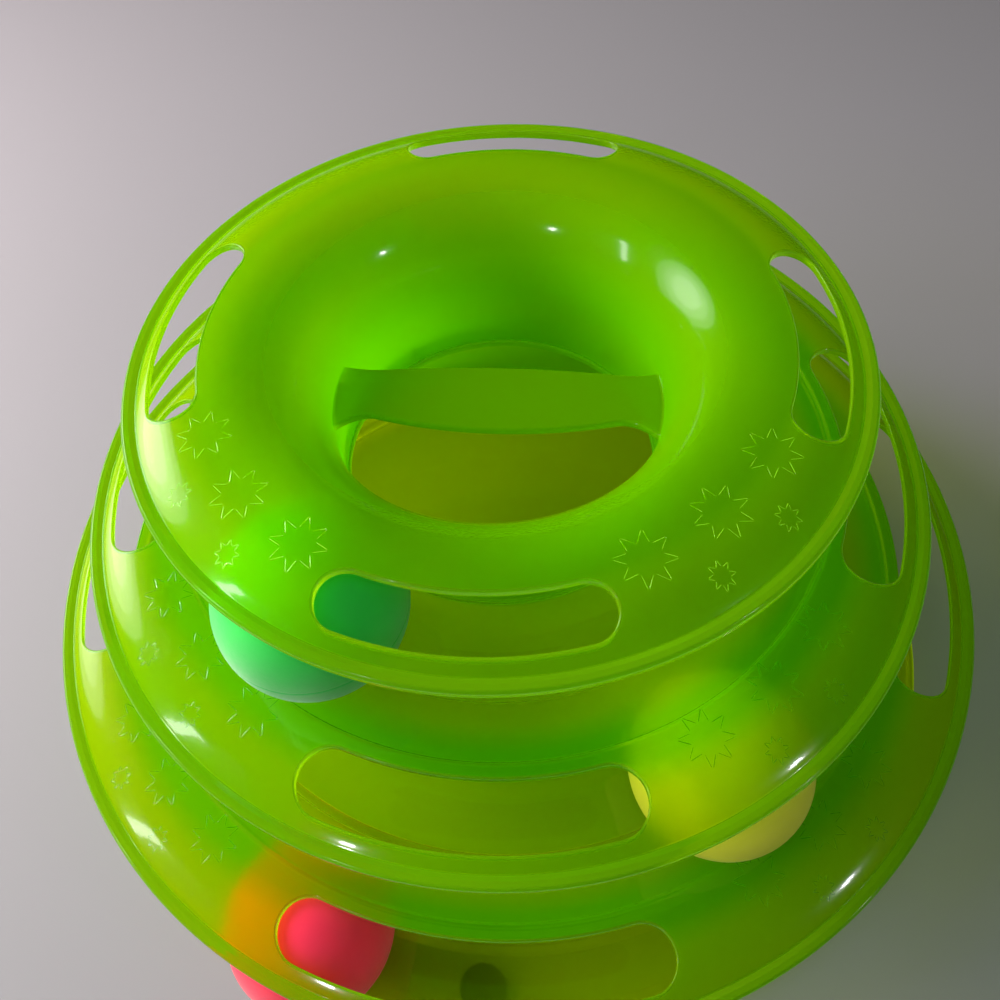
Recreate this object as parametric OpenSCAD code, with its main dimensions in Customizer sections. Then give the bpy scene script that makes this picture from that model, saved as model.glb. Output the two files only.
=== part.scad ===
// Three-tier ball track tower. Millimetres, +Z up.
// Origin: centre of the footprint, on the surface the tower stands on.
// Each tier is one thin moulding: a domed rim with four arc slots, a running
// groove on its top for the ball above, a collar that the next neck plugs
// into, and its own neck standing down to the tier below.

/* [Balls] */
// Outside diameter of each ball
ball_d = 40; // [38:0.5:40]
// Wall thickness of the hollow balls
ball_wall = 1.4; // [1:0.1:2]
// Gap left between a ball and the channel around it
ball_gap = 0.3; // [0.2:0.05:0.4]
// Direction of the top ball, degrees from +X
top_ball_az = -121; // [-130:1:-111]
// Direction of the middle ball, degrees from +X
middle_ball_az = -53; // [-60:1:-40]
// Direction of the bottom ball, degrees from +X
bottom_ball_az = -112; // [-125:1:-111]

/* [Tiers] */
// Rim radius of the lower tier, the widest of the three
lower_rim_r = 125; // [124:0.5:127]
// Rim radius of the middle tier
middle_rim_r = 103; // [102:0.5:104]
// Rim radius of the top tier
top_rim_r = 81.2; // [80.5:0.1:82]
// Height from the lower rim to the middle rim
lower_step = 38.5; // [38:0.25:40]
// Height from the middle rim to the top rim
upper_step = 40.5; // [39.5:0.25:41]
// Wall thickness of the mouldings
wall = 1.8; // [1.6:0.1:2]
// How far a ball's centre runs inside the rim above it
ball_inset = 16.2; // [16:0.1:16.6]
// How far a ball's centre runs below the rim above it
ball_drop = 16.8; // [16.6:0.1:17.2]

/* [Slots] */
// Number of arc slots round each tier
slot_count = 4; // [4]
// Angle each slot covers, measured over its round ends
slot_angle = 45; // [38:1:50]
// Distance from the rim to the slot's outer edge
slot_margin = 6.1; // [6:0.1:7]
// Width of the top tier's slots across the dome
slot_width_top = 10.9; // [9:0.1:11]
// Width of the middle and lower tiers' slots across the dome
slot_width_lower = 13.4; // [10:0.1:13.8]

/* [Well and bar] */
// Radius of the opening in the middle of the top tier
well_r = 38.5; // [36:0.5:39]
// Half width of the cross bar at its middle
bar_half_mid = 9.7; // [9:0.1:12]
// Half width of the cross bar near its ends
bar_half_end = 7; // [6:0.1:8]
// Thickness of the cross bar
bar_t = 2.1; // [1.8:0.1:3]
// Height of the bar's upper face below the top rim
bar_drop = 17.9; // [17:0.1:21]

/* [Base] */
// Outer radius of the base tray
base_r = 120.5; // [120:0.5:121]
// Height of the running groove's lowest line on the base
base_track_z = 5.2; // [5:0.1:6]
// Underside of the base plate
base_under = 2.4; // [2.2:0.1:2.8]
// Number of rubber feet
foot_count = 4; // [3:1:6]
// Diameter of each rubber foot
foot_d = 12; // [10:0.5:13]

/* [Hidden] */
fn_big = 160;
fn_mid = 96;
e = 0.01;

ball_r = ball_d / 2;
groove_r = 26;                 // cross-section radius of every running groove
dome_in = ball_r + 0.4;        // underside of the dome, struck from the ball's centre
dome_out = dome_in + wall;     // upper face of the dome, same centre
foot_step = 1.5;               // a neck stands this far below the groove it passes
collar_h = 7;                  // collar height over the seat inside it
collar_t = 2;
collar_play = 0.4;
seat_w = 2.2;                  // width of the ledge a neck stands on, just clear of its bore
crease_in = 22.2;              // from the rim to the edge where the groove begins
rim_low = 0.6;                 // rim's lower face below the rim height
rim_top = 1.5;                 // rim's bead above the rim height

// heights of the ball centres and rims
bottom_ball_z = base_track_z + ball_gap + ball_r;
lower_rim_z = bottom_ball_z + ball_drop;
middle_rim_z = lower_rim_z + lower_step;
top_rim_z = middle_rim_z + upper_step;
middle_ball_z = middle_rim_z - ball_drop;
top_ball_z = top_rim_z - ball_drop;

// radii the balls run on
bottom_orbit = lower_rim_r - ball_inset;
middle_orbit = middle_rim_r - ball_inset;
top_orbit = top_rim_r - ball_inset;

// heights of the groove lines
lower_groove_z = middle_ball_z - ball_r - ball_gap;
middle_groove_z = top_ball_z - ball_r - ball_gap;

// outside radius of each neck
neck_gap = 20.5;               // from a groove line to the neck inside its channel
top_neck_r = well_r + wall;
middle_neck_r = middle_orbit - neck_gap;
lower_neck_r = bottom_orbit - neck_gap;

// heights the necks stand on
top_foot_z = middle_groove_z - foot_step;
middle_foot_z = lower_groove_z - foot_step;
lower_foot_z = base_track_z - foot_step;

function arc(cx, cz, r, a0, a1, n) =
    [for (i = [0:n]) let (a = a0 + (a1 - a0) * i / n) [cx + r * cos(a), cz + r * sin(a)]];
function bez(p, q, s, n) =
    [for (i = [1:n - 1]) let (t = i / n) p * (1 - t) * (1 - t) + q * 2 * t * (1 - t) + s * t * t];
function rev(v) = [for (i = [len(v) - 1:-1:0]) v[i]];

// upper face from the rim's bead over the dome to the crest
function dome_top(R, z) = concat(
    [[R, z - rim_low], [R, z + rim_top - 0.6], [R - 0.25, z + rim_top - 0.15], [R - 0.7, z + rim_top],
     [R - 1.5, z + rim_top], [R - 2.1, z + rim_top - 0.35]],
    arc(R - ball_inset, z - ball_drop, dome_out, acos((ball_inset - 3) / dome_out), 90, 10),
    [[R - ball_inset - 2.2, z - ball_drop + dome_out + 0.2]]);
function crest_z(z) = z - ball_drop + dome_out + 0.3;

// lower face of the dome, from under the crest out to the rim
function dome_under(R, z) = concat(
    rev(arc(R - ball_inset, z - ball_drop, dome_in, asin((ball_drop - rim_low) / dome_in), 90, 10)));

// running groove on a tier, from the crest over its edge and down to the groove
// line and up again: off is 0 for the upper face and the wall for the lower one
function groove_line(R, z, gr, gz, off, a1, n) =
    let (cz = crest_z(z), a = asin(sqrt(2 * groove_r * 0.25 * (cz - gz)) / groove_r), k = groove_r + off,
         re = gr + k * sin(a), ze = gz + groove_r - k * cos(a),
         rs = R - crease_in - 0.7 - off * 0.3, zs = cz - 0.6 - off,
         rc = (rs + re) / 2, zc = ze + tan(a) * (rc - re))
    concat([[R - ball_inset - 4.3, cz - off], [R - crease_in - off * 0.3, cz - off], [rs, zs]],
           bez([rs, zs], [rc, zc], [re, ze], 6),
           arc(gr, gz + groove_r, k, -90 + a, -90 - a1, n));
function under_z(r, gr, gz) =
    gz + groove_r - sqrt(pow(groove_r + wall, 2) - pow(r - gr, 2));
function shelf_z(gz) = gz + 2.5;

// full section of the lower and middle tiers
// R, z: rim; gr, gz: groove; nr: radius of the neck above, so of the collar;
// sr, fz: outside radius and foot height of this tier's own neck
module tier_section(R, z, gr, gz, nr, sr, fz) {
    seat_z = gz - foot_step;
    ci = nr + collar_play;
    co = ci + collar_t;
    ct = seat_z + collar_h;
    sh = shelf_z(gz);
    under = rev(groove_line(R, z, gr, gz, wall, 19, 16));
    polygon(concat(
        dome_top(R, z),
        groove_line(R, z, gr, gz, 0, 20, 16),
        [[gr - 12.5, sh - 0.15], [gr - 15, sh], [co + 1, sh], [co + 0.25, sh + 0.3], [co, sh + 1],
         [co, ct - 0.6], [co - 0.6, ct], [ci + 0.6, ct], [ci, ct - 0.6], [ci, seat_z],
         [nr - seat_w, seat_z], [nr - seat_w, seat_z - 2], [co, seat_z - 2],
         [co + 1.5, sh - wall], [gr - 15, sh - wall], [gr - 12.5, sh - wall - 0.15]],
        [for (p = under) if (p[0] < sr - wall - 0.3) p],
        [[sr - wall, under_z(sr - wall, gr, gz)], [sr - wall, fz], [sr, fz], [sr, under_z(sr, gr, gz)]],
        [for (p = under) if (p[0] > sr + 0.3) p],
        [[R - ball_inset - 2.2, z - ball_drop + dome_in + 0.1]],
        dome_under(R, z),
        [[R - 3.2, z - rim_low]]));
}

// top tier: the crest falls in a smooth funnel to the well, then the neck
module top_section() {
    R = top_rim_r;
    z = top_rim_z;
    cz = crest_z(z);
    hz = z - 23;                // height where the funnel turns into the neck
    fx = R - ball_inset - 5 - well_r;   // width of the funnel's rounding
    polygon(concat(
        dome_top(R, z),
        [[R - ball_inset - 4.3, cz]],
        [for (i = [0:14]) let (a = 90 * i / 14) [well_r + fx - fx * sin(a), hz + (cz - hz) * cos(a)]],
        [[well_r, top_foot_z], [well_r + wall, top_foot_z]],
        [for (i = [14:-1:0]) let (a = 90 * i / 14)
            [well_r + fx - (fx - wall) * sin(a), hz + (cz - wall - hz) * cos(a)]],
        [[R - ball_inset - 4.3, cz - wall], [R - ball_inset - 2.2, z - ball_drop + dome_in + 0.1]],
        dome_under(R, z),
        [[R - 3.2, z - rim_low]]));
}

// one arc slot with full round ends, centred on +X, cut straight down
module slot_cut(R, z, slot_width) {
    ro = R - slot_margin;
    ri = ro - slot_width;
    rm = (ro + ri) / 2;
    ha = slot_angle / 2 - asin(slot_width / 2 / rm);
    translate([0, 0, z - 8]) linear_extrude(height = 20) {
        intersection() {
            difference() {
                circle(r = ro, $fn = fn_big);
                circle(r = ri, $fn = fn_big);
            }
            polygon([[0, 0], [2 * R * cos(ha), -2 * R * sin(ha)], [2.5 * R, 0], [2 * R * cos(ha), 2 * R * sin(ha)]]);
        }
        for (s = [-1, 1])
            rotate(s * ha) translate([rm, 0]) circle(d = slot_width, $fn = 48);
    }
}

module slots(R, z, w) {
    for (i = [0:slot_count - 1])
        rotate([0, 0, i * 360 / slot_count]) slot_cut(R, z, w);
}

// four ribs on a neck that index it to the collar below
module neck_keys(nr, fz) {
    for (i = [0:3])
        rotate([0, 0, 45 + 90 * i])
            translate([nr - 0.9, -3, fz]) cube([2.1, 6, 5.5]);
}

// the collar's four notches for those ribs
module collar_notches(nr, seat_z) {
    for (i = [0:3])
        rotate([0, 0, 45 + 90 * i])
            translate([nr - 0.5, -3.4, seat_z]) cube([2.1, 6.8, collar_h + 1]);
}

// broad flat bar across the well, wider at its middle, flared into the neck
module cross_bar() {
    half = function (x) let (u = abs(x) / 30)
        u <= 1 ? bar_half_end + (bar_half_mid - bar_half_end) * (1 - u * u)
               : bar_half_end + pow((u - 1) * 30, 2) * 0.05;
    xs = [for (x = [-39.6:1.8:39.6]) x];
    translate([0, 0, top_rim_z - bar_drop - bar_t])
        intersection() {
            linear_extrude(height = bar_t)
                polygon(concat([for (x = xs) [x, half(x)]], [for (x = rev(xs)) [x, -half(x)]]));
            cylinder(r = well_r + wall / 2, h = bar_t, $fn = fn_mid);
        }
}

module half_ball(az, orbit, z, upper) {
    rotate([0, 0, az]) translate([orbit, 0, z]) {
        difference() {
            sphere(r = ball_r, $fn = fn_mid);
            sphere(r = ball_r - ball_wall, $fn = fn_mid);
            translate([-ball_d, -ball_d, upper ? -2 * ball_d : 0]) cube(2 * ball_d);
        }
        // locating lip inside the lower half's edge
        if (!upper) rotate_extrude($fn = fn_mid)
            polygon([[ball_r - ball_wall - 1.2, -1.6], [ball_r - ball_wall + 0.5, -1.6],
                     [ball_r - ball_wall + 0.5, -0.4], [ball_r - ball_wall - 0.25, 0],
                     [ball_r - ball_wall - 0.35, 1.4], [ball_r - ball_wall - 1.2, 1.4]]);
    }
}

module base_tray() {
    gz = base_track_z;
    gr = bottom_orbit;
    seat_z = lower_foot_z;
    ci = lower_neck_r + collar_play;
    co = ci + collar_t;
    ct = seat_z + collar_h;
    color([0.45, 0.78, 0.05, 0.8]) difference() {
        rotate_extrude($fn = fn_big) polygon(concat(
            [[0, base_under], [co + 0.5, base_under], [co + 2, gz - 0.1], [gr - 10.5, gz - 0.1],
             [gr - 8, base_under], [gr + 4, base_under], [base_r - 2, base_under + 2.2], [base_r, base_under + 3.2],
             [base_r, gz + 2.3], [base_r - 0.4, gz + 2.8], [base_r - 1.4, gz + 2.8]],
            arc(gr, gz + groove_r, groove_r, -90 + 22, -90 - 22, 14),
            [[gr - 12, gz + 1.95], [gr - 14, gz + 1.9], [co + 1, gz + 1.9], [co, gz + 2.6], [co, ct - 0.6], [co - 0.6, ct], [ci + 0.6, ct],
             [ci, ct - 0.6], [ci, seat_z], [lower_neck_r - seat_w, seat_z], [lower_neck_r - seat_w - 1, seat_z + 0.8],
             [0, seat_z + 0.8]]));
        collar_notches(lower_neck_r, seat_z);
        // recesses for the rubber feet
        for (i = [0:foot_count - 1])
            rotate([0, 0, -90 + i * 360 / foot_count]) translate([gr - 0.5, 0, base_under - 1])
                cylinder(d = foot_d, h = 2, $fn = 48);
    }
}

module rubber_feet() {
    color([0.08, 0.08, 0.08])
        for (i = [0:foot_count - 1])
            rotate([0, 0, -90 + i * 360 / foot_count]) translate([bottom_orbit - 0.5, 0, 0]) {
                cylinder(d1 = foot_d - 1.6, d2 = foot_d - 0.4, h = 0.8, $fn = 48);
                translate([0, 0, 0.8 - e]) cylinder(d = foot_d - 0.4, h = base_under + 0.2 + e, $fn = 48);
            }
}

module lower_tier() {
    color([0.42, 0.75, 0.04, 0.7]) difference() {
        union() {
            rotate_extrude($fn = fn_big)
                tier_section(lower_rim_r, lower_rim_z, middle_orbit, lower_groove_z, middle_neck_r, lower_neck_r, lower_foot_z);
            neck_keys(lower_neck_r, lower_foot_z);
        }
        slots(lower_rim_r, lower_rim_z, slot_width_lower);
        collar_notches(middle_neck_r, middle_foot_z);
    }
}

module middle_tier() {
    color([0.42, 0.78, 0.04, 0.7]) difference() {
        union() {
            rotate_extrude($fn = fn_big)
                tier_section(middle_rim_r, middle_rim_z, top_orbit, middle_groove_z, top_neck_r, middle_neck_r, middle_foot_z);
            neck_keys(middle_neck_r, middle_foot_z);
        }
        slots(middle_rim_r, middle_rim_z, slot_width_lower);
        collar_notches(top_neck_r, top_foot_z);
    }
}

module top_tier() {
    color([0.45, 0.82, 0.05, 0.7]) difference() {
        union() {
            rotate_extrude($fn = fn_big) top_section();
            neck_keys(top_neck_r, top_foot_z);
            cross_bar();
        }
        slots(top_rim_r, top_rim_z, slot_width_top);
    }
}

module top_ball_upper_half() { color([0.25, 0.8, 0.55]) half_ball(top_ball_az, top_orbit, top_ball_z, true); }
module top_ball_lower_half() { color([0.25, 0.8, 0.55]) half_ball(top_ball_az, top_orbit, top_ball_z, false); }
module middle_ball_upper_half() { color([0.93, 0.9, 0.45]) half_ball(middle_ball_az, middle_orbit, middle_ball_z, true); }
module middle_ball_lower_half() { color([0.93, 0.9, 0.45]) half_ball(middle_ball_az, middle_orbit, middle_ball_z, false); }
module bottom_ball_upper_half() { color([0.95, 0.35, 0.5]) half_ball(bottom_ball_az, bottom_orbit, bottom_ball_z, true); }
module bottom_ball_lower_half() { color([0.95, 0.35, 0.5]) half_ball(bottom_ball_az, bottom_orbit, bottom_ball_z, false); }

base_tray();
rubber_feet();
lower_tier();
middle_tier();
top_tier();
top_ball_upper_half();
top_ball_lower_half();
middle_ball_upper_half();
middle_ball_lower_half();
bottom_ball_upper_half();
bottom_ball_lower_half();
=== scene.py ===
import math
import random

import bmesh
import bpy
import numpy as np
from mathutils import Matrix, Vector


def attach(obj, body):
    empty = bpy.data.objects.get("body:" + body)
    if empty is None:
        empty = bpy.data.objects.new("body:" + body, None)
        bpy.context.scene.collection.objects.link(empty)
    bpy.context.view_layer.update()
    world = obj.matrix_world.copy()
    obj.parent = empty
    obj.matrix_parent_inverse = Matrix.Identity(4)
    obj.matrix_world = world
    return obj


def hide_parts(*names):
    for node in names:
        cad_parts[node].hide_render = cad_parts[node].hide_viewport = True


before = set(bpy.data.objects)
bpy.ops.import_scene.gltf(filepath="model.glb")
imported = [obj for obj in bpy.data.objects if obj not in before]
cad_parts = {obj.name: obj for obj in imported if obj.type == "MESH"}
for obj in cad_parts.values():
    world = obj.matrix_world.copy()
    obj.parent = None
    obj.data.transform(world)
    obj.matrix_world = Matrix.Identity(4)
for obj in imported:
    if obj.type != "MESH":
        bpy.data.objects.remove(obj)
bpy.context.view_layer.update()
MM = 0.001
random.seed(7)

# ---------------------------------------------------------------- sizes, mm
BALL_R = 20.0
INSET, DROP = 16.2, 16.8
DOME_IN, DOME_OUT = 20.4, 22.2
WALL = 1.8
GROOVE_R = 26.0
COLLAR_H, COLLAR_T, COLLAR_PLAY = 7.0, 2.0, 0.4
SEAT_W = 2.2
TIERS = {
    "top": dict(R=81.2, z=121.3, slot_w=10.9),
    "middle": dict(R=103.0, z=80.8, slot_w=13.4),
    "lower": dict(R=125.0, z=42.3, slot_w=13.4),
}
SLOT_MARGIN, SLOT_HALF = 6.1, 22.5
ORBIT = {k: t["R"] - INSET for k, t in TIERS.items()}
BALL_Z = {k: t["z"] - DROP for k, t in TIERS.items()}
GROOVE_Z = {"lower": BALL_Z["middle"] - BALL_R - 0.3, "middle": BALL_Z["top"] - BALL_R - 0.3}
NECK_R = {"top": 40.3, "middle": ORBIT["middle"] - 20.5, "lower": ORBIT["lower"] - 20.5}
BASE_GZ = 5.2
FOOT_Z = {"top": GROOVE_Z["middle"] - 1.5, "middle": GROOVE_Z["lower"] - 1.5, "lower": BASE_GZ - 1.5}
LIFT = 0.12          # necks stand this far off their seats, so the faces stay apart


# ------------------------------------------------------------ section tools
def arc(cx, cz, r, a0, a1, n):
    return [(cx + r * math.cos(math.radians(a0 + (a1 - a0) * i / n)),
             cz + r * math.sin(math.radians(a0 + (a1 - a0) * i / n))) for i in range(n + 1)]


def soft(pts):
    """Rounds the corners of an open chain of (r, z) or (r, z, radius) and adds holding points beside them."""
    out = []
    for i, p in enumerate(pts):
        rad = p[2] if len(p) > 2 else 0.0
        if rad <= 0 or i == 0 or i == len(pts) - 1:
            out.append((p[0], p[1]))
            continue
        a, b, c = Vector(pts[i - 1][:2]), Vector(p[:2]), Vector(pts[i + 1][:2])
        u, v = (a - b), (c - b)
        lu, lv = u.length, v.length
        u.normalize(); v.normalize()
        turn = math.pi - u.angle(v)
        if turn < 0.02:
            out.append((p[0], p[1]))
            continue
        t = min(rad * math.tan(turn / 2), 0.45 * lu, 0.45 * lv)
        rr = t / math.tan(turn / 2)
        mid = (u + v).normalized()
        centre = b + mid * (rr / math.cos(turn / 2))
        s, e = b + u * t, b + v * t
        if lu * 0.5 > t + 0.2:
            out.append(tuple(b + u * (t + 0.14)))
        n = max(2, int(math.ceil(math.degrees(turn) / 16)))
        ds, de = s - centre, e - centre
        a0, a1 = math.atan2(ds.y, ds.x), math.atan2(de.y, de.x)
        d = (a1 - a0 + math.pi) % (2 * math.pi) - math.pi
        for k in range(n + 1):
            aa = a0 + d * k / n
            out.append((centre.x + rr * math.cos(aa), centre.y + rr * math.sin(aa)))
        if lv * 0.5 > t + 0.2:
            out.append(tuple(b + v * (t + 0.14)))
    return out


def fill(pts, step):
    """Adds points to long straight runs."""
    out = [pts[0]]
    for a, b in zip(pts, pts[1:]):
        d = math.hypot(b[0] - a[0], b[1] - a[1])
        n = max(1, int(math.ceil(d / step)))
        for k in range(1, n + 1):
            out.append((a[0] + (b[0] - a[0]) * k / n, a[1] + (b[1] - a[1]) * k / n))
    return out


def ease(t):
    t = min(max(t, 0.0), 1.0)
    return t * t * (3 - 2 * t)


def dome_z(R, z, r, rad):
    x = r - (R - INSET)
    zc = z - DROP
    if x >= 0:
        return zc + math.sqrt(rad * rad - x * x)
    return zc + rad + 0.3 * ease(-x / 4.3)


def groove_chain(R, z, gr, gz, off, a_end, n):
    """From the crease beside the crest down into the groove and up its far side."""
    cz = z - DROP + DOME_OUT + 0.3
    a = math.degrees(math.asin(math.sqrt(2 * GROOVE_R * 0.25 * (cz - gz)) / GROOVE_R))
    k = GROOVE_R + off
    re, ze = gr + k * math.sin(math.radians(a)), gz + GROOVE_R - k * math.cos(math.radians(a))
    rs, zs = R - 22.9 - off * 0.3, cz - 0.6 - off
    rc = (rs + re) / 2
    zc = ze + math.tan(math.radians(a)) * (rc - re)
    bez = []
    for i in range(1, 8):
        t = i / 8
        bez.append((rs * (1 - t) ** 2 + rc * 2 * t * (1 - t) + re * t * t,
                    zs * (1 - t) ** 2 + zc * 2 * t * (1 - t) + ze * t * t))
    return [(R - 22.2 - off * 0.3, cz - off, 0.9), (rs, zs, 0.9)] + bez + arc(gr, gz + GROOVE_R, k, -90 + a, -90 - a_end, n)


def under_z(r, gr, gz):
    return gz + GROOVE_R - math.sqrt((GROOVE_R + WALL) ** 2 - (r - gr) ** 2)


def sections(name):
    """The tier's two chains: from the slot zone over the rim, and from the slot zone through the well.
    Each is (points, index where its underside starts)."""
    t = TIERS[name]
    R, z = t["R"], t["z"]
    zc = z - DROP
    r_o = R - 4.2
    outer = [(r_o, dome_z(R, z, r_o, DOME_OUT))]
    outer += [(R - INSET + x, zc + math.sqrt(DOME_OUT ** 2 - x * x)) for x in (12.4, 12.8)]
    outer += [(R - 3.0, z + 1.05, 0.22), (R - 2.15, z + 1.36, 0.3), (R - 1.8, z + 1.5, 0.5), (R - 0.55, z + 1.5, 0.5),
              (R, z + 0.95, 0.5), (R, z - 0.6, 0.4)]
    cut_o = len(soft(outer))
    outer += [(R - 3.75, z - 0.6, 0.5), (r_o + 0.2, zc + math.sqrt(DOME_IN ** 2 - 12.2 ** 2)), (r_o, dome_z(R, z, r_o, DOME_IN))]
    outer = soft(outer)
    nr, fz = NECK_R[name], FOOT_Z[name] + LIFT
    if name == "top":
        r_i = R - 19.6
        cz, hz, fx, wr = zc + DOME_OUT + 0.3, z - 23, 21.5, nr - WALL
        inner = [(r_i, dome_z(R, z, r_i, DOME_OUT)), (R - 20.6, cz)]
        inner += [(wr + fx - fx * math.sin(math.radians(a)), hz + (cz - hz) * math.cos(math.radians(a))) for a in np.linspace(0, 90, 31)]
        inner += fill([(wr, hz), (wr, fz + 1)], 1.6)[1:] + [(wr, fz, 0.35), (nr, fz, 0.35)]
        cut = len(soft(inner)) - 1
        down = fill([(nr, fz + 1.0), (nr, fz + 5.3)], 0.7) + [(nr, fz + 5.5)] + fill([(nr, fz + 5.62), (nr, hz)], 1.6)
        inner += down
        inner += [(wr + fx - (fx - WALL) * math.sin(math.radians(a)), hz + (cz - WALL - hz) * math.cos(math.radians(a))) for a in np.linspace(90, 0, 31)][1:]
        inner += [(R - 20.6, cz - WALL), (r_i, dome_z(R, z, r_i, DOME_IN))]
        return r_o, r_i, outer, cut_o, soft(inner), cut
    r_i = R - 21.6
    above = "top" if name == "middle" else "middle"
    gr, gz = ORBIT[above], GROOVE_Z[name]
    cr = NECK_R[above]
    seat = FOOT_Z[above]
    ci, co, ct, sh = cr + COLLAR_PLAY, cr + COLLAR_PLAY + COLLAR_T, seat + COLLAR_H, gz + 2.5
    cz = zc + DOME_OUT + 0.3
    inner = [(r_i, cz)] + groove_chain(R, z, gr, gz, 0, 20, 36)
    inner += [(gr - 12.5, sh - 0.15, 4), (gr - 15, sh, 4), (co + 0.7, sh, 0.9), (co, sh + 0.8, 0.9), (co, ct, 0.7), (ci, ct, 0.7)]
    inner += fill([(ci, ct - 1.0), (ci, seat + 0.6)], 1.2) + [(ci, seat, 0.25), (cr - SEAT_W, seat, 0.4)]
    cut = len(soft(inner)) - 1
    inner += [(cr - SEAT_W, seat - 2, 0.4), (co, seat - 2, 1.0), (co + 1.5, sh - WALL, 1.5), (gr - 15, sh - WALL, 4), (gr - 12.5, sh - WALL - 0.15, 4)]
    under = [p for p in reversed(groove_chain(R, z, gr, gz, WALL, 19, 36))]
    inner += [p for p in under if p[0] < nr - WALL - 0.9]
    inner += [(nr - WALL, under_z(nr - WALL, gr, gz), 0.7)]
    inner += fill([(nr - WALL, under_z(nr - WALL, gr, gz) - 1.2), (nr - WALL, fz + 1)], 2.2) + [(nr - WALL, fz, 0.35), (nr, fz, 0.35)]
    inner += fill([(nr, fz + 1.0), (nr, fz + 5.3)], 0.7) + [(nr, fz + 5.5)]
    inner += fill([(nr, fz + 5.62), (nr, under_z(nr, gr, gz) - 1.2)], 2.2) + [(nr, under_z(nr, gr, gz), 0.7)]
    inner += [p for p in under if p[0] > nr + 0.9]
    inner += [(r_i, cz - WALL)]
    return r_o, r_i, outer, cut_o, soft(inner), cut


# ------------------------------------------------------------------- meshes
def new_object(name, verts, faces, mats, slots, body, replaces=(), recalc=True):
    me = bpy.data.meshes.new(name)
    me.from_pydata([(x * MM, y * MM, z * MM) for x, y, z in verts], [], faces)
    me.validate()
    for m in mats:
        me.materials.append(m)
    if slots is not None and len(slots) == len(me.polygons):
        me.polygons.foreach_set("material_index", slots)
    me.polygons.foreach_set("use_smooth", [True] * len(me.polygons))
    if recalc:
        bm = bmesh.new()
        bm.from_mesh(me)
        bmesh.ops.recalc_face_normals(bm, faces=bm.faces)
        bm.to_mesh(me)
        bm.free()
    me.update()
    ob = bpy.data.objects.new(name, me)
    bpy.context.scene.collection.objects.link(ob)
    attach(ob, body)
    if replaces:
        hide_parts(*replaces)
    return ob


class Builder:
    def __init__(self):
        self.v, self.f, self.m = [], [], []

    def vert(self, x, y, z):
        self.v.append((x, y, z))
        return len(self.v) - 1

    def quad(self, a, b, c, d, m):
        self.f.append((a, b, c, d))
        self.m.append(m)

    def strip(self, p, q, m, close=False):
        n = len(p)
        for i in range(n if close else n - 1):
            j = (i + 1) % n
            self.quad(p[i], p[j], q[j], q[i], m)


def near(a, b):
    return abs((a - b + 180) % 360 - 180)


def tier_angles(name):
    """Degrees round the tier: an even grid, and pairs at the edges of the index ribs and notches."""
    base = [i * 0.9 for i in range(400)]
    extra = []
    rims = [(NECK_R[name], 3.0)]
    if name != "top":
        above = "top" if name == "middle" else "middle"
        rims.append((NECK_R[above] + COLLAR_PLAY, 3.4))
    for r, h in rims:
        a = math.degrees(h / r)
        for k in range(4):
            for s in (-1, 1):
                extra += [45 + 90 * k + s * (a - 0.1), 45 + 90 * k + s * (a + 0.1)]
    keep = [b for b in base if all(near(b, x) > 0.2 or abs(b % 45) < 1e-6 for x in extra)]
    return sorted(keep + [x % 360 for x in extra])


def shaped_ring(b, r, z, angles, bump=None):
    """A ring of vertices; bump(angle) gives what is added to the radius."""
    out = []
    for a in angles:
        rr = r + (bump(a) if bump else 0.0)
        out.append(b.vert(rr * math.cos(math.radians(a)), rr * math.sin(math.radians(a)), z))
    return out


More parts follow.
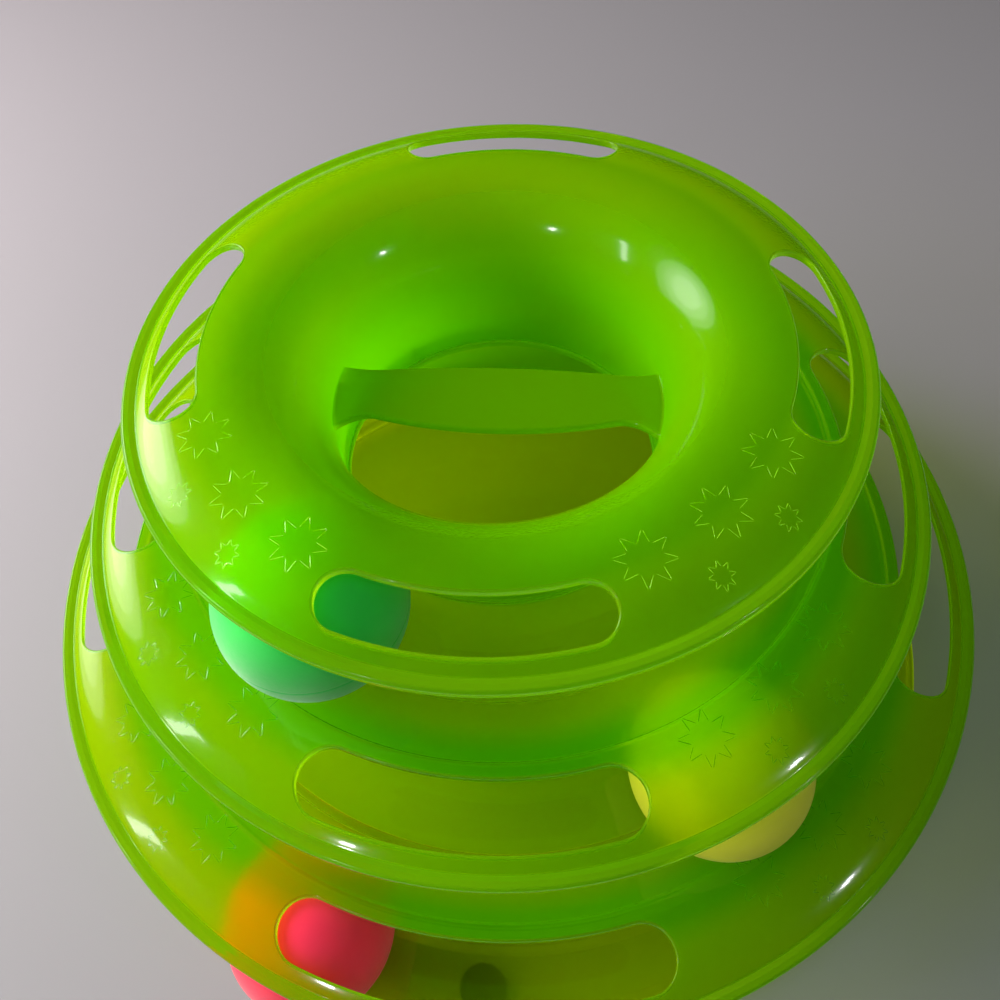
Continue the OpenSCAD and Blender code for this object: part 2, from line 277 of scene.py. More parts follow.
def build_tier(name):
    t = TIERS[name]
    R, z, w = t["R"], t["z"], t["slot_w"]
    r_o, r_i, outer, cut_o, inner, cut_i = sections(name)
    angles = tier_angles(name)
    b = Builder()
    fz = FOOT_Z[name] + LIFT
    nr = NECK_R[name]

    def inside(a, half_mm, r):
        return min(near(a, 45 + 90 * k) for k in range(4)) < math.degrees(half_mm / r)

    def bump_for(r, zz):
        if abs(r - nr) < 0.02 and fz + 0.4 < zz < fz + 5.55:
            return lambda a: 1.2 if inside(a, 3.0, nr) else 0.0
        if name != "top":
            above = "top" if name == "middle" else "middle"
            ci, seat = NECK_R[above] + COLLAR_PLAY, FOOT_Z[above]
            if abs(r - ci) < 0.02 and zz > seat + 0.2:
                return lambda a: 1.2 if inside(a, 3.4, ci) else 0.0
        return None

    rings_o = [shaped_ring(b, p[0], p[1], angles) for p in outer]
    rings_i = [shaped_ring(b, p[0], p[1], angles, bump_for(*p)) for p in inner]
    for i in range(len(rings_o) - 1):
        edge = (outer[i][0] + outer[i + 1][0]) / 2 > R - 2.9
        b.strip(rings_o[i], rings_o[i + 1], 2 if edge else 0 if i + 1 < cut_o else 1, True)
    for i in range(len(rings_i) - 1):
        b.strip(rings_i[i], rings_i[i + 1], 0 if i + 1 <= cut_i else 1, True)

    # the domed zone between them, upper and lower faces, with the four slots
    half_w = 27.0
    M = 14
    n = len(angles)
    radii = [r_o + (r_i - r_o) * k / M for k in range(M + 1)]
    ro, ri = R - SLOT_MARGIN, R - SLOT_MARGIN - w
    rm = (ro + ri) / 2
    ha = SLOT_HALF - math.degrees(math.asin(w / 2 / rm))

    def outline(th, r, off):
        """Where the way from (th, r) to the slot meets its outline, grown by off. th is measured from the slot's middle."""
        c = min(max(th, -ha), ha)
        u, v = math.radians(th - c) * rm, r - rm
        d = math.hypot(u, v)
        u, v = u / d, v / d
        x = rm + (w / 2 + off) * v
        y = (w / 2 + off) * u
        px = x * math.cos(math.radians(c)) - y * math.sin(math.radians(c))
        py = x * math.sin(math.radians(c)) + y * math.cos(math.radians(c))
        return px, py

    walls = []
    for side, rad in ((0, DOME_OUT), (1, DOME_IN)):
        first = rings_o[0] if side == 0 else rings_o[-1]
        last = rings_i[0] if side == 0 else rings_i[-1]
        cols = {}

        def column(j):
            if j not in cols:
                a = math.radians(angles[j])
                c = [first[j]]
                for r in radii[1:-1]:
                    c.append(b.vert(r * math.cos(a), r * math.sin(a), dome_z(R, z, r, rad)))
                c.append(last[j])
                cols[j] = c
            return cols[j]

        loops = []
        for k in range(4):
            mid = 90.0 * k
            lo = min(range(n), key=lambda j: near(angles[j], mid - half_w))
            hi = min(range(n), key=lambda j: near(angles[j], mid + half_w))
            nxt = min(range(n), key=lambda j: near(angles[j], mid + 90 - half_w))
            j = hi
            while j != nxt:
                p, q = column(j), column((j + 1) % n)
                b.strip(p, q, side)
                j = (j + 1) % n
            span = [(lo + s) % n for s in range(((hi - lo) % n) + 1)]
            rim = [(first[j], angles[j] - mid, radii[0]) for j in span]
            rim += [(column(hi)[m], angles[hi] - mid, radii[m]) for m in range(1, M)]
            rim += [(last[j], angles[j] - mid, radii[-1]) for j in reversed(span)]
            rim += [(column(lo)[m], angles[lo] - mid, radii[m]) for m in range(M - 1, 0, -1)]
            rim = [(v, (a + 180) % 360 - 180, r) for v, a, r in rim]
            cm, sm = math.cos(math.radians(mid)), math.sin(math.radians(mid))

            def put(px, py, zz):
                return b.vert(px * cm - py * sm, px * sm + py * cm, zz)

            rho = 0.5 if side == 0 else 0.3
            K = 9
            prev = [v for v, a, r in rim]
            for lay in range(1, K + 1):
                s = (1 - lay / K) ** 1.25
                row = []
                for v, a, r in rim:
                    ox, oy = outline(a, r, rho)
                    oa, orr = math.degrees(math.atan2(oy, ox)), math.hypot(ox, oy)
                    aa, rr = oa + (a - oa) * s, orr + (r - orr) * s
                    row.append(put(rr * math.cos(math.radians(aa)), rr * math.sin(math.radians(aa)), dome_z(R, z, rr, rad)))
                b.strip(prev, row, side, True)
                prev = row
            for lay in range(1, 6):
                al = math.radians(90 * lay / 5)
                off, dz = rho * (1 - math.sin(al)), rho * (1 - math.cos(al))
                row = []
                for v, a, r in rim:
                    ox, oy = outline(a, r, off)
                    zz = dome_z(R, z, math.hypot(ox, oy), rad)
                    row.append(put(ox, oy, zz - dz if side == 0 else zz + dz))
                b.strip(prev, row, 2, True)
                prev = row
            loops.append(prev)
        walls.append(loops)
    for top, low in zip(*walls):
        mid_rows = []
        for s in (1 / 3, 2 / 3):
            mid_rows.append([b.vert(*(b.v[p][i] * (1 - s) + b.v[q][i] * s for i in range(3))) for p, q in zip(top, low)])
        b.strip(top, mid_rows[0], 2, True)
        b.strip(mid_rows[0], mid_rows[1], 2, True)
        b.strip(mid_rows[1], low, 2, True)
    return b


def add_star(b, R, z, az, r, size, m, turn, width, height):
    """A raised eight-point star outline, as sixteen thin strokes that follow the dome."""
    pts = []
    for i in range(16):
        rad = size / 2 if i % 2 == 0 else size / 2 * 0.5
        a = math.radians(turn + i * 22.5)
        pts.append((rad * math.cos(a), rad * math.sin(a)))
    ca, sa = math.cos(math.radians(az)), math.sin(math.radians(az))
    for i in range(16):
        p, q = Vector(pts[i]), Vector(pts[(i + 1) % 16])
        d = (q - p)
        length = d.length
        d.normalize()
        nrm = Vector((-d.y, d.x))
        cut = length * 0.12
        p, q = p + d * cut, q - d * cut
        low = 1.0 if i % 2 == 0 else 0.4
        rows = []
        for k, s in enumerate((0.0, 0.12, 0.35, 0.65, 0.88, 1.0)):
            tall = (0.0, 0.8, 1.0, 1.0, 0.8, 0.0)[k]
            wide = (0.35, 0.9, 1.0, 1.0, 0.9, 0.35)[k]
            c = p.lerp(q, s)
            row = []
            for side, up in ((-1.35, -0.12), (-1.0, 0.25), (-0.45, 0.9), (0.0, 1.0), (0.45, 0.9), (1.0, 0.25), (1.35, -0.12)):
                pt = c + nrm * (side * width * wide * (0.5 + 0.5 * low))
                x, y = r + pt.x, pt.y
                rr = math.hypot(x, y)
                zz = dome_z(R, z, rr, DOME_OUT) + (up * height * tall * low if up > 0 else -0.05)
                zz = min(zz, z - DROP + DOME_OUT + 0.29)
                row.append(b.vert(x * ca - y * sa, x * sa + y * ca, zz))
            rows.append(row)
        for u, v in zip(rows, rows[1:]):
            b.strip(u, v, m)
            b.quad(u[-1], u[0], v[0], v[-1], m)
        b.f.append(tuple(rows[0])); b.m.append(m)
        b.f.append(tuple(reversed(rows[-1]))); b.m.append(m)


# ---------------------------------------------------------------- materials
def socket(node, *names):
    for s in names:
        if s in node.inputs:
            return node.inputs[s]
    raise KeyError(names)


def fresh(name):
    mat = bpy.data.materials.new(name)
    mat.use_nodes = True
    mat.node_tree.nodes.clear()
    return mat, mat.node_tree.nodes, mat.node_tree.links


def noise(nodes, links, coord, scale, detail=3.0, rough=0.5):
    n = nodes.new("ShaderNodeTexNoise")
    n.inputs["Scale"].default_value = scale
    n.inputs["Detail"].default_value = detail
    n.inputs["Roughness"].default_value = rough
    links.new(coord, n.inputs["Vector"])
    return n.outputs["Fac"]


def remap(nodes, links, value, a, b, c, d):
    m = nodes.new("ShaderNodeMapRange")
    for key, val in (("From Min", a), ("From Max", b), ("To Min", c), ("To Max", d)):
        m.inputs[key].default_value = val
    links.new(value, m.inputs["Value"])
    return m.outputs["Result"]


def blend_colour(nodes, links, fac, a, b):
    m = nodes.new("ShaderNodeMix")
    m.data_type = "RGBA"
    links.new(fac, m.inputs[0])
    m.inputs[6].default_value = (*a, 1)
    m.inputs[7].default_value = (*b, 1)
    return m.outputs[2]


def product(nodes, links, *values):
    last = values[0]
    for v in values[1:]:
        m = nodes.new("ShaderNodeMath")
        m.operation = "MULTIPLY"
        links.new(last, m.inputs[0])
        links.new(v, m.inputs[1])
        last = m.outputs[0]
    return last


def greater(nodes, links, a, b):
    m = nodes.new("ShaderNodeMath")
    m.operation = "MAXIMUM"
    links.new(a, m.inputs[0])
    links.new(b, m.inputs[1])
    return m.outputs[0]


def layered(nodes, links, colours, factors):
    """The first colour, covered by each later one where its factor is 1."""
    last = colours[0]
    for colour, fac in zip(colours[1:], factors):
        m = nodes.new("ShaderNodeMix")
        m.data_type = "RGBA"
        links.new(fac, m.inputs[0])
        if isinstance(last, tuple):
            m.inputs[6].default_value = (*last, 1)
        else:
            links.new(last, m.inputs[6])
        m.inputs[7].default_value = (*colour, 1)
        last = m.outputs[2]
    return last


def lime_plastic(name, rough, milk, core, tints, glows, bump_mm, peel, gloss, rim=None, channel=True):
    """Clear lime plastic: a glass-like body, a milky share that grows from milk to core in the necks round
    the well, and a straight tinted way through for lamps. With a rim radius in mm the tints and glows are
    for the dome's flank, its crest and, where there is a channel, the running groove; the crest's are
    painted shade and the groove's painted light. The darker glows of the funnel throat and the necks
    round the well are painted shade."""
    mat, N, L = fresh(name)
    out = N.new("ShaderNodeOutputMaterial")
    coord = N.new("ShaderNodeTexCoord").outputs["Object"]
    sep = N.new("ShaderNodeSeparateXYZ")
    L.new(coord, sep.inputs[0])
    flat = N.new("ShaderNodeCombineXYZ")
    L.new(sep.outputs["X"], flat.inputs["X"])
    L.new(sep.outputs["Y"], flat.inputs["Y"])
    length = N.new("ShaderNodeVectorMath")
    length.operation = "LENGTH"
    L.new(flat.outputs[0], length.inputs[0])
    r, z = length.outputs["Value"], sep.outputs["Z"]
    zones = []
    if rim:
        zones.append(remap(N, L, r, (rim - 12) * MM, (rim - 18) * MM, 0, 1))
        if channel:
            zones.append(remap(N, L, r, (rim - 25) * MM, (rim - 31) * MM, 0, 1))

    tone = remap(N, L, noise(N, L, coord, 26, 2), 0.3, 0.7, 0, 1)
    body = blend_colour(N, L, tone, tints[0], tuple(c * 0.93 for c in tints[0]))
    p = N.new("ShaderNodeBsdfPrincipled")
    L.new(layered(N, L, [body, *tints[1:]], zones), p.inputs["Base Color"])
    p.inputs["IOR"].default_value = 1.49
    socket(p, "Specular IOR Level").default_value = 0.1 if gloss > 0 else 0.3
    socket(p, "Transmission Weight").default_value = 1.0
    L.new(remap(N, L, noise(N, L, coord, 420, 4), 0.25, 0.75, *rough), p.inputs["Roughness"])
    bump = N.new("ShaderNodeBump")
    bump.inputs["Strength"].default_value = 1.0
    bump.inputs["Distance"].default_value = bump_mm * MM
    L.new(noise(N, L, coord, peel, 2), bump.inputs["Height"])
    L.new(bump.outputs["Normal"], p.inputs["Normal"])
    if gloss > 0:
        socket(p, "Coat Weight").default_value = gloss
        socket(p, "Coat Roughness").default_value = 0.055
        socket(p, "Coat IOR").default_value = 1.5
        L.new(bump.outputs["Normal"], p.inputs["Coat Normal"])
    clear = N.new("ShaderNodeBsdfTransparent")
    clear.inputs["Color"].default_value = (*THROUGH, 1)
    path = N.new("ShaderNodeLightPath")
    a = N.new("ShaderNodeMixShader")
    L.new(path.outputs["Is Shadow Ray"], a.inputs[0])
    L.new(p.outputs[0], a.inputs[1])
    L.new(clear.outputs[0], a.inputs[2])
    c = N.new("ShaderNodeMixShader")
    L.new(path.outputs["Is Diffuse Ray"], c.inputs[0])
    L.new(a.outputs[0], c.inputs[1])
    L.new(clear.outputs[0], c.inputs[2])
    last = c.outputs[0]
    if core > 0:
        shadow = path.outputs["Is Shadow Ray"]
        dif = N.new("ShaderNodeBsdfDiffuse")
        tra = N.new("ShaderNodeBsdfTranslucent")
        both = N.new("ShaderNodeMixShader")
        if zones:
            # the top tier's neck, and the middle tier's neck with the collar it stands in
            upper = product(N, L, remap(N, L, r, 0.0445, 0.0430, 0, 1), remap(N, L, z, 0.108, 0.101, 0, 1), remap(N, L, z, 0.078, 0.080, 0, 1))
            lower = product(N, L, remap(N, L, r, 0.0695, 0.0675, 0, 1), remap(N, L, z, 0.068, 0.064, 0, 1), remap(N, L, z, 0.020, 0.040, 0, 1))
            deep = greater(N, L, upper, lower)
            dense = upper
            if not channel:
                over = remap(N, L, z, 0.098, 0.101, 0, 1)
                deep = greater(N, L, deep, product(N, L, remap(N, L, r, 0.0440, 0.0385, 0, 1), over))
                dense = greater(N, L, dense, product(N, L, remap(N, L, r, 0.053, 0.041, 0, 1), over))
            share = greater(N, L, remap(N, L, deep, 0, 1, milk, core), remap(N, L, dense, 0, 1, milk, 0.60))
            open_ = product(N, L, shadow, remap(N, L, dense, 0, 1, 0.45, 0.56))
            share = product(N, L, share, remap(N, L, open_, 0, 1, 1, 0))
            # each zone takes its own glow: painted shade on the crests, the funnel throat and the necks, painted light
            # in the groove
            hue = layered(N, L, [*glows, SHADE_GLOW, NECK_SHADED_GLOW], zones + [dense, deep])
            L.new(hue, dif.inputs["Color"])
            L.new(hue, tra.inputs["Color"])
            L.new(remap(N, L, dense, 0, 1, 0.6, 0.62), both.inputs[0])
        else:
            share = remap(N, L, shadow, 0, 1, milk, 0.55 * milk)
            dif.inputs["Color"].default_value = (*glows[0], 1)
            tra.inputs["Color"].default_value = (*glows[0], 1)
            both.inputs[0].default_value = 0.6
        L.new(dif.outputs[0], both.inputs[1])
        L.new(tra.outputs[0], both.inputs[2])
        m = N.new("ShaderNodeMixShader")
        L.new(share, m.inputs[0])
        L.new(last, m.inputs[1])
        L.new(both.outputs[0], m.inputs[2])
        last = m.outputs[0]
    L.new(last, out.inputs["Surface"])
    return mat


def ball_plastic(name, colour, dark, haze):
    mat, N, L = fresh(name)
    out = N.new("ShaderNodeOutputMaterial")
    coord = N.new("ShaderNodeTexCoord").outputs["Object"]
    p = N.new("ShaderNodeBsdfPrincipled")
    tone = remap(N, L, noise(N, L, coord, 160, 5, 0.6), 0.35, 0.65, 0, 1)
    L.new(blend_colour(N, L, tone, colour, dark), p.inputs["Base Color"])
    L.new(remap(N, L, noise(N, L, coord, 900, 3), 0.3, 0.7, 0.42, 0.6), p.inputs["Roughness"])
    socket(p, "Sheen Weight").default_value = haze
    socket(p, "Sheen Roughness").default_value = 0.5
    bump = N.new("ShaderNodeBump")
    bump.inputs["Distance"].default_value = 0.03 * MM
    L.new(noise(N, L, coord, 1500, 3), bump.inputs["Height"])
    L.new(bump.outputs["Normal"], p.inputs["Normal"])
    # the wall is thin, so light that enters the hollow ball glows through on its far side
    tra = N.new("ShaderNodeBsdfTranslucent")
    tra.inputs["Color"].default_value = (*colour, 1)
    m = N.new("ShaderNodeMixShader")
    m.inputs[0].default_value = 0.45
    L.new(p.outputs[0], m.inputs[1])
    L.new(tra.outputs[0], m.inputs[2])
    L.new(m.outputs[0], out.inputs["Surface"])
    return mat


def rubber(name):
    mat, N, L = fresh(name)
    out = N.new("ShaderNodeOutputMaterial")
    coord = N.new("ShaderNodeTexCoord").outputs["Object"]
    p = N.new("ShaderNodeBsdfPrincipled")
    tone = remap(N, L, noise(N, L, coord, 500, 4), 0.3, 0.7, 0, 1)
    L.new(blend_colour(N, L, tone, (0.012, 0.012, 0.012), (0.03, 0.03, 0.028)), p.inputs["Base Color"])
    L.new(remap(N, L, noise(N, L, coord, 1200, 3), 0.3, 0.7, 0.62, 0.8), p.inputs["Roughness"])
    bump = N.new("ShaderNodeBump")
    bump.inputs["Distance"].default_value = 0.05 * MM
    L.new(noise(N, L, coord, 2200, 3), bump.inputs["Height"])
    L.new(bump.outputs["Normal"], p.inputs["Normal"])
    L.new(p.outputs[0], out.inputs["Surface"])
    return mat


THROUGH = (0.82, 0.89, 0.03)
FLANK_TINT, FLANK_GLOW = (0.76, 0.85, 0.002), (0.26, 0.74, 0.0)
# painted shade: the crests' tints and glows are greener and darker than the flank's, as the crests look in shade
TOP_CREST_SHADED_TINT, TOP_CREST_SHADED_GLOW = (0.54, 0.82, 0.002), (0.205, 0.68, 0.0)
CREST_SHADED_TINT, CREST_SHADED_GLOW = (0.46, 0.83, 0.002), (0.10, 0.70, 0.0)
# painted light: the running groove's glow is warmer than the flank's, for the direct light that reaches it through the
# slots
GROOVE_TINT, GROOVE_LIT_GLOW = (0.76, 0.84, 0.002), (0.34, 0.70, 0.0)
# painted shade: the funnel throat and the necks round the well take darker, greener glows than the flank
SHADE_GLOW, NECK_SHADED_GLOW = (0.215, 0.52, 0.0), (0.15, 0.58, 0.0)
EDGE_TINT, EDGE_GLOW = (0.42, 0.80, 0.002), (0.28, 0.59, 0.004)
TRAY_TINT, TRAY_GLOW = (0.84, 0.84, 0.002), (0.38, 0.66, 0.0)
# painted glints: the top tier's star strokes take a brighter glow than the flank, so they show as lit lines
BAR_SHADED_GLOW, STAR_GLINT_GLOW = (0.17, 0.46, 0.0), (0.60, 1.0, 0.06)


def tier_materials(key):
    """Gloss on top, satin below, denser where light runs along an edge."""
    groove = key != "top"
    tints = [FLANK_TINT, CREST_SHADED_TINT, GROOVE_TINT] if groove else [FLANK_TINT, TOP_CREST_SHADED_TINT]
    glows = [FLANK_GLOW, CREST_SHADED_GLOW, GROOVE_LIT_GLOW] if groove else [FLANK_GLOW, TOP_CREST_SHADED_GLOW]
    R = TIERS[key]["R"]
    return [lime_plastic(f"lime_shine_{key}", (0.11, 0.15), 0.36, 0.52, tints, glows, 0.012, 260, 0.9, R, groove),
            lime_plastic(f"lime_satin_{key}", (0.38, 0.48), 0.0, 0.45, tints, glows, 0.04, 1400, 0.0, R, groove),
            lime_plastic(f"lime_edge_{key}", (0.12, 0.18), 0.42, 0.42, [EDGE_TINT], [EDGE_GLOW], 0.012, 260, 0.8)]


MATS = {key: tier_materials(key) for key in ("top", "middle", "lower")}
# painted shade: the bar's glow is darker than the flank's, for the shade it lies in inside the well
MATS["top"] += [lime_plastic("lime_bar", (0.11, 0.15), 0.6, 0.6, [CREST_SHADED_TINT], [BAR_SHADED_GLOW], 0.012, 260, 0.5),
                lime_plastic("lime_star_glint", (0.11, 0.15), 0.64, 0.64, [FLANK_TINT], [STAR_GLINT_GLOW], 0.012, 260, 1.0)]
tray_shine = lime_plastic("tray_shine", (0.11, 0.15), 0.24, 0.24, [TRAY_TINT], [TRAY_GLOW], 0.012, 260, 0.9)
tray_satin = lime_plastic("tray_satin", (0.38, 0.48), 0.0, 0.0, [TRAY_TINT], [TRAY_GLOW], 0.04, 1400, 0.0)


# the broad bar across the well, one moulding with the top tier
def bar_half(x, side):
    """Half width on the far (side 1) and the near (side -1) edge."""
    x = abs(x)
    if side > 0:
        return 8.3 + 1.5 * (1 - (x / 30) ** 2) if x < 30 else 8.3 + (x - 30) ** 2 * 0.012
    return 6.0 + 3.5 * (1 - (x / 29) ** 2) if x < 29 else 6.0 + (x - 29) ** 2 * 0.055


def build_bar():
    b = Builder()
    top, thick, rho, end = 121.3 - 17.9, 2.1, 0.7, 38.5 + 0.9
    sect = []
    for a in range(0, 181, 15):
        s = math.sin(math.radians(a))
        c = math.cos(math.radians(a))
        sect.append((rho * s, (thick / 2 - rho) * (1 if a < 90 else -1 if a > 90 else 0) + rho * c))
    rows = []
    nx = 61
    # each line runs the bar's length at one place of its cross-section
    lines = [("top", s) for s in np.linspace(-1, 1, 15)] + [("edge+", k) for k in range(1, len(sect) - 1)]
    lines += [("low", s) for s in np.linspace(1, -1, 15)] + [("edge-", k) for k in range(len(sect) - 2, 0, -1)]
    for kind, s in lines:
        row = []
        for i in range(nx):
            tt = -1 + 2 * i / (nx - 1)
            x = tt * end
            for _ in range(12):
                h = bar_half(x, -1 if kind == "edge-" or (kind != "edge+" and s < 0) else 1) - rho
                if kind in ("top", "low"):
                    y, dz = s * h, (thick / 2 if kind == "top" else -thick / 2)
                else:
                    dy, dz = sect[s]
                    y = (h + dy) * (1 if kind == "edge+" else -1)
                x = tt * math.sqrt(end * end - y * y)
            row.append(b.vert(x, y, top - thick / 2 + dz))
        rows.append(row)
    for i in range(len(rows)):
        b.strip(rows[i], rows[(i + 1) % len(rows)], 3)
    b.f.append(tuple(r[0] for r in rows)); b.m.append(3)
    b.f.append(tuple(r[-1] for r in reversed(rows))); b.m.append(3)
    return b


def append(ob, b):
    """Adds a builder's closed lumps to an object's mesh."""
    bm = bmesh.new()
    bm.from_mesh(ob.data)
    verts = [bm.verts.new((x * MM, y * MM, z * MM)) for x, y, z in b.v]
    for f, m in zip(b.f, b.m):
        face = bm.faces.new([verts[i] for i in f])
        face.material_index = m
        face.smooth = True
    bm.to_mesh(ob.data)
    bm.free()
    ob.data.update()


def weld(ob, b, mats):
    """Joins a builder's solid to an object, with no wall left between them."""
    me = bpy.data.meshes.new("part")
    me.from_pydata([(x * MM, y * MM, z * MM) for x, y, z in b.v], [], b.f)
    for m in mats:
        me.materials.append(m)
    me.polygons.foreach_set("use_smooth", [True] * len(me.polygons))
    me.polygons.foreach_set("material_index", b.m)
    bm = bmesh.new()
    bm.from_mesh(me)
    bmesh.ops.recalc_face_normals(bm, faces=bm.faces)
    bm.to_mesh(me)
    bm.free()
    tool = bpy.data.objects.new("part", me)
    bpy.context.scene.collection.objects.link(tool)
    mod = ob.modifiers.new("weld", "BOOLEAN")
    mod.operation = "UNION"
    mod.solver = "EXACT"
    mod.object = tool
    dep = bpy.context.evaluated_depsgraph_get()
    new = bpy.data.meshes.new_from_object(ob.evaluated_get(dep))
    ob.modifiers.clear()
    old = ob.data
    ob.data = new
    bpy.data.objects.remove(tool, do_unlink=True)
    bpy.data.meshes.remove(me)
    bpy.data.meshes.remove(old)


# -------------------------------------------------------------------- tiers
STAR_OFFS = ((-15.6, 17.0, 12.5, 0), (0.0, 17.0, 12.5, 11), (15.6, 17.0, 12.5, 4), (-7.1, 8.0, 5.7, 8), (7.1, 8.0, 5.7, 15))
for name in ("top", "middle", "lower"):
    t = TIERS[name]
    b = build_tier(name)
    stars = Builder()
    for k in (2, 3):
        for off, inward, size, turn in STAR_OFFS:
            az = 45 + 90 * k + off * TIERS["top"]["R"] / t["R"]
            thin = (0.07, 0.012) if name != "top" else (0.075, 0.075) if k == 2 else (0.055, 0.035)
            # the top tier's strokes take the brighter stroke material: painted glints
            add_star(stars, t["R"], t["z"], az, t["R"] - inward, size, 4 if name == "top" else 0, turn + 7 * k, *thin)
    skin = new_object(name + "_tier_shell", b.v, b.f, MATS[name], b.m, name + "_tier", [name + "_tier"])
    if name == "top":
        weld(skin, build_bar(), MATS[name])
    append(skin, stars)


# --------------------------------------------------------------------- base
def build_base():
    gz, gr, nr = BASE_GZ, ORBIT["lower"], NECK_R["lower"]
    seat, un, br = FOOT_Z["lower"], 2.4, 120.5
    ci, co, ct = nr + COLLAR_PLAY, nr + COLLAR_PLAY + COLLAR_T, FOOT_Z["lower"] + COLLAR_H
    pts = [(0, seat + 0.8)] + fill([(4, seat + 0.8), (nr - SEAT_W - 2.5, seat + 0.8)], 5)
    pts += [(nr - SEAT_W - 1, seat + 0.8, 0.5), (nr - SEAT_W, seat, 0.5), (ci, seat, 0.25)]
    pts += fill([(ci, seat + 0.6), (ci, ct - 1.0)], 1.2) + [(ci, ct, 0.7), (co, ct, 0.7), (co, gz + 2.6, 0.9), (co + 1, gz + 1.9, 0.9)]
    pts += [(gr - 14, gz + 1.9, 3), (gr - 12, gz + 1.95, 3)]
    pts += arc(gr, gz + GROOVE_R, GROOVE_R, -90 - 22, -90 + 22, 36)
    pts += [(br - 1.4, gz + 2.8, 0.4), (br, gz + 2.8, 0.6)]
    cut = len(soft(pts)) - 1
    pts += [(br, un + 3.2, 0.8), (br - 2, un + 2.2, 0.8), (gr + 4, un, 1.2), (gr - 8, un, 0.8), (gr - 10.5, gz - 0.1, 0.8), (co + 2, gz - 0.1, 0.8), (co + 0.5, un, 0.8)]
    pts += fill([(co - 3, un), (4, un)], 6) + [(0, un)]
    chain = soft(pts)
    angles = sorted([i * 0.9 for i in range(400) if all(near(i * 0.9, 45 + 90 * k + s * math.degrees(3.4 / ci)) > 0.2 for k in range(4) for s in (-1, 1))]
                    + [(45 + 90 * k + s * (math.degrees(3.4 / ci) + d)) % 360 for k in range(4) for s in (-1, 1) for d in (-0.1, 0.1)])
    b = Builder()
    rings = []
    for r, z in chain[1:-1]:
        notch = abs(r - ci) < 0.02 and z > seat + 0.2
        rings.append(shaped_ring(b, r, z, angles, (lambda a: 1.2 if min(near(a, 45 + 90 * k) for k in range(4)) < math.degrees(3.4 / ci) else 0.0) if notch else None))
    for i in range(len(rings) - 1):
        b.strip(rings[i], rings[i + 1], 0 if i + 1 < cut else 1, True)
    for ring, (r, z), m in ((rings[0], chain[0], 0), (rings[-1], chain[-1], 1)):
        c = b.vert(0, 0, z)
        for i in range(len(ring)):
            b.f.append((ring[i], ring[(i + 1) % len(ring)], c))
            b.m.append(m)
    return b


b = build_base()
new_object("base_tray_shell", b.v, b.f, [tray_shine, tray_satin], b.m, "base", ["base_tray"])


def build_feet():
    b = Builder()
    sect = soft([(0, 0.25), (2.6, 0.25, 0.2), (3.2, 0.0, 0.2), (5.0, 0.0, 0.5), (5.8, 0.9, 0.5), (5.8, 2.33, 0.3), (0, 2.33)])
    for k in range(4):
        a0 = math.radians(-90 + 90 * k)
        cx, cy = (ORBIT["lower"] - 0.5) * math.cos(a0), (ORBIT["lower"] - 0.5) * math.sin(a0)
        rings = []
        for r, z in sect[1:-1]:
            rings.append([b.vert(cx + r * math.cos(math.radians(a)), cy + r * math.sin(math.radians(a)), z) for a in range(0, 360, 6)])
        for u, v in zip(rings, rings[1:]):
            b.strip(u, v, 0, True)
        for ring, z in ((rings[0], sect[0][1]), (rings[-1], sect[-1][1])):
            c = b.vert(cx, cy, z)
            for i in range(len(ring)):
                b.f.append((ring[i], ring[(i + 1) % len(ring)], c))
                b.m.append(0)
    return b


b = build_feet()
new_object("rubber_feet_shell", b.v, b.f, [rubber("foot_rubber")], b.m, "base", ["rubber_feet"])


# -------------------------------------------------------------------- balls
def build_half(az, orbit, z, upper):
    """One half of a hollow ball, its outer edge eased so that the seam shows as a hairline."""
    b = Builder()
    seam = 0.05
    prof = [(BALL_R * math.cos(math.radians(a)), BALL_R * math.sin(math.radians(a))) for a in np.linspace(90, 0.62, 60)]
    prof += [(BALL_R - 0.03, 0.12), (BALL_R - 0.10, seam), (BALL_R - 1.3, seam)]
    ri = BALL_R - 1.4
    prof += [(ri * math.cos(math.radians(a)), max(ri * math.sin(math.radians(a)), seam)) for a in np.linspace(0.4, 90, 30)]
    s = 1 if upper else -1
    n = 128
    cx, cy = orbit * math.cos(math.radians(az)), orbit * math.sin(math.radians(az))
    rings = []
    for r, h in prof[1:-1]:
        rings.append([b.vert(cx + r * math.cos(2 * math.pi * i / n), cy + r * math.sin(2 * math.pi * i / n), z + s * h) for i in range(n)])
    for u, v in zip(rings, rings[1:]):
        b.strip(u, v, 0, True)
    for ring, (r, h) in ((rings[0], prof[0]), (rings[-1], prof[-1])):
        c = b.vert(cx, cy, z + s * h)
        for i in range(n):
            b.f.append((ring[i], ring[(i + 1) % n], c))
            b.m.append(0)
    return b


BALLS = {
    "top": (-121, ball_plastic("ball_green", (0.024, 0.76, 0.095), (0.022, 0.72, 0.088), 0.65), "top_ball_plastic"),
    "middle": (-53, ball_plastic("ball_yellow", (0.92, 0.90, 0.06), (0.88, 0.86, 0.055), 0.1), "middle_ball_plastic"),
    "bottom": (-112, ball_plastic("ball_pink", (1.0, 0.05, 0.13), (0.96, 0.045, 0.12), 0.35), "bottom_ball_plastic"),
}
for key, (az, mat, slot) in BALLS.items():
    tier = "lower" if key == "bottom" else key
    for half in ("upper", "lower"):
        b = build_half(az, ORBIT[tier], BALL_Z[tier], half == "upper")
        new_object(f"{key}_ball_{half}_shell", b.v, b.f, [mat], b.m, key + "_ball", [f"{key}_ball_{half}_half"])

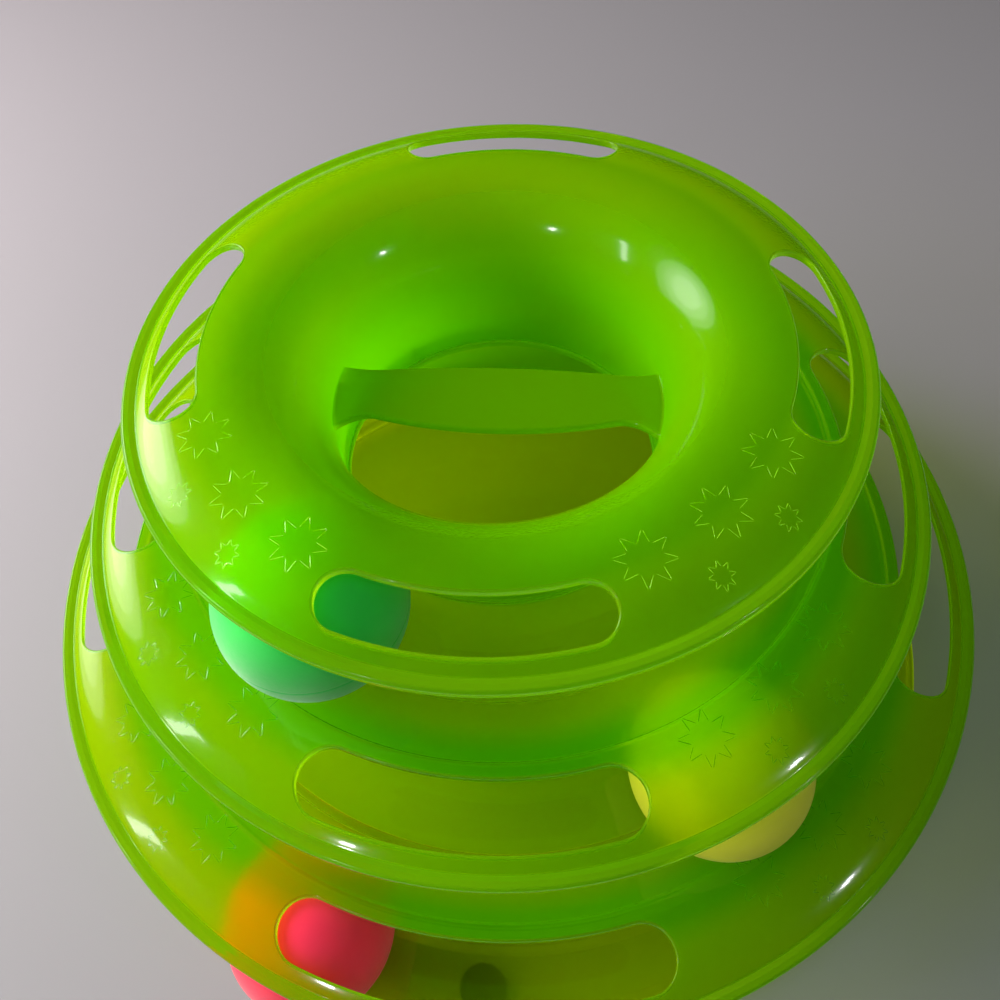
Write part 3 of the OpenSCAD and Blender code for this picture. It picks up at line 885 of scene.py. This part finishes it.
# ------------------------------------------------------------ floor, lights
floor_mat, N, L = fresh("pale_floor")
out = N.new("ShaderNodeOutputMaterial")
p = N.new("ShaderNodeBsdfPrincipled")
coord = N.new("ShaderNodeTexCoord").outputs["Object"]
L.new(blend_colour(N, L, noise(N, L, coord, 2.2, 3), (0.210, 0.208, 0.213), (0.230, 0.228, 0.233)), p.inputs["Base Color"])
p.inputs["Roughness"].default_value = 0.6
L.new(p.outputs[0], out.inputs["Surface"])
me = bpy.data.meshes.new("floor")
S = 3.0
me.from_pydata([(-S, -S, 0), (S, -S, 0), (S, S, 0), (-S, S, 0)], [], [(0, 1, 2, 3)])
me.materials.append(floor_mat)
floor = bpy.data.objects.new("floor", me)
bpy.context.scene.collection.objects.link(floor)


def area(name, az, el, dist, size, power, colour=(1, 1, 1), size_y=None, seen=True, aim=(0, 0, 0.08)):
    """A soft light at azimuth az and elevation el from the toy. An unseen one fills without a reflection."""
    lamp = bpy.data.lights.new(name, "AREA")
    lamp.shape = "ELLIPSE" if name.startswith("window_broad") else "RECTANGLE" if size_y else "DISK"
    lamp.size = size
    if size_y:
        lamp.size_y = size_y
    lamp.energy = power
    lamp.color = colour
    ob = bpy.data.objects.new(name, lamp)
    a, e = math.radians(az), math.radians(el)
    loc = Vector(aim) + Vector((math.cos(a) * math.cos(e), math.sin(a) * math.cos(e), math.sin(e))) * dist
    ob.location = loc
    ob.rotation_euler = (Vector(aim) - loc).to_track_quat("-Z", "Y").to_euler()
    bpy.context.scene.collection.objects.link(ob)
    if not seen:
        ob.visible_glossy = False
        ob.visible_transmission = False
    return ob


for k, (wide, high, power) in enumerate(((0.75, 0.80, 8.6), (1.15, 1.20, 12.2), (1.55, 1.55, 11.2))):
    area(f"window_broad_{k}", 161, 21, 2.4, wide, power, (1.0, 0.97, 0.97), high)
area("window_bright", -160.5, 26, 2.4, 0.14, 3.4, (1.0, 1.0, 1.0), 0.75)
area("lamp_front_left", -120, 31, 2.4, 0.13, 1.9)
area("lamp_right", -24.5, 29, 2.4, 0.12, 1.9)
area("left_soft", 166, 32, 0.78, 0.45, 11.3, (1.0, 0.85, 0.89), seen=False)
area("front_left_soft", -156, 26, 0.9, 0.45, 5.8, (0.97, 1.0, 0.96), seen=False)
area("top_soft", -90, 68, 1.2, 0.8, 3.9, (0.82, 1.0, 0.93), seen=False)

world = bpy.data.worlds.new("studio")
bpy.context.scene.world = world
world.use_nodes = True
bg = world.node_tree.nodes.get("Background") or world.node_tree.nodes.new("ShaderNodeBackground")
bg.inputs["Color"].default_value = (0.9, 0.92, 1.0, 1)
bg.inputs["Strength"].default_value = 0.08
world.cycles_visibility.glossy = False

# ------------------------------------------------------------------- camera
TURN = math.radians(7.2)
pitch, yaw, roll = math.radians(52.38), math.radians(-1.92), math.radians(-5.45)


def turned(v):
    return Vector((v[0] * math.cos(TURN) - v[1] * math.sin(TURN), v[0] * math.sin(TURN) + v[1] * math.cos(TURN), v[2]))


eye = turned((0, -144.76, 273.31)) * MM
fw = turned((math.sin(yaw) * math.cos(pitch), math.cos(yaw) * math.cos(pitch), -math.sin(pitch)))
right = turned((math.cos(yaw), -math.sin(yaw), 0))
up = right.cross(fw)
r2 = right * math.cos(roll) + up * math.sin(roll)
u2 = -right * math.sin(roll) + up * math.cos(roll)
cam = bpy.data.cameras.new("camera")
cam.sensor_width = 36
cam.lens = 0.94728 * 36
cam.shift_x = (500 - 480.8) / 1000
cam.shift_y = -(500 - 446.09) / 1000
cam.clip_start = 0.01
cam_ob = bpy.data.objects.new("camera", cam)
cam_ob.matrix_world = Matrix(((r2.x, u2.x, -fw.x, eye.x), (r2.y, u2.y, -fw.y, eye.y), (r2.z, u2.z, -fw.z, eye.z), (0, 0, 0, 1)))
bpy.context.scene.collection.objects.link(cam_ob)
bpy.context.scene.camera = cam_ob

scene = bpy.context.scene
scene.view_settings.view_transform = "Standard"
scene.view_settings.look = "None"
scene.cycles.use_denoising = True
scene.cycles.max_bounces = 16
scene.cycles.transmission_bounces = 14
scene.cycles.transparent_max_bounces = 24
scene.cycles.diffuse_bounces = 5
scene.cycles.caustics_refractive = False
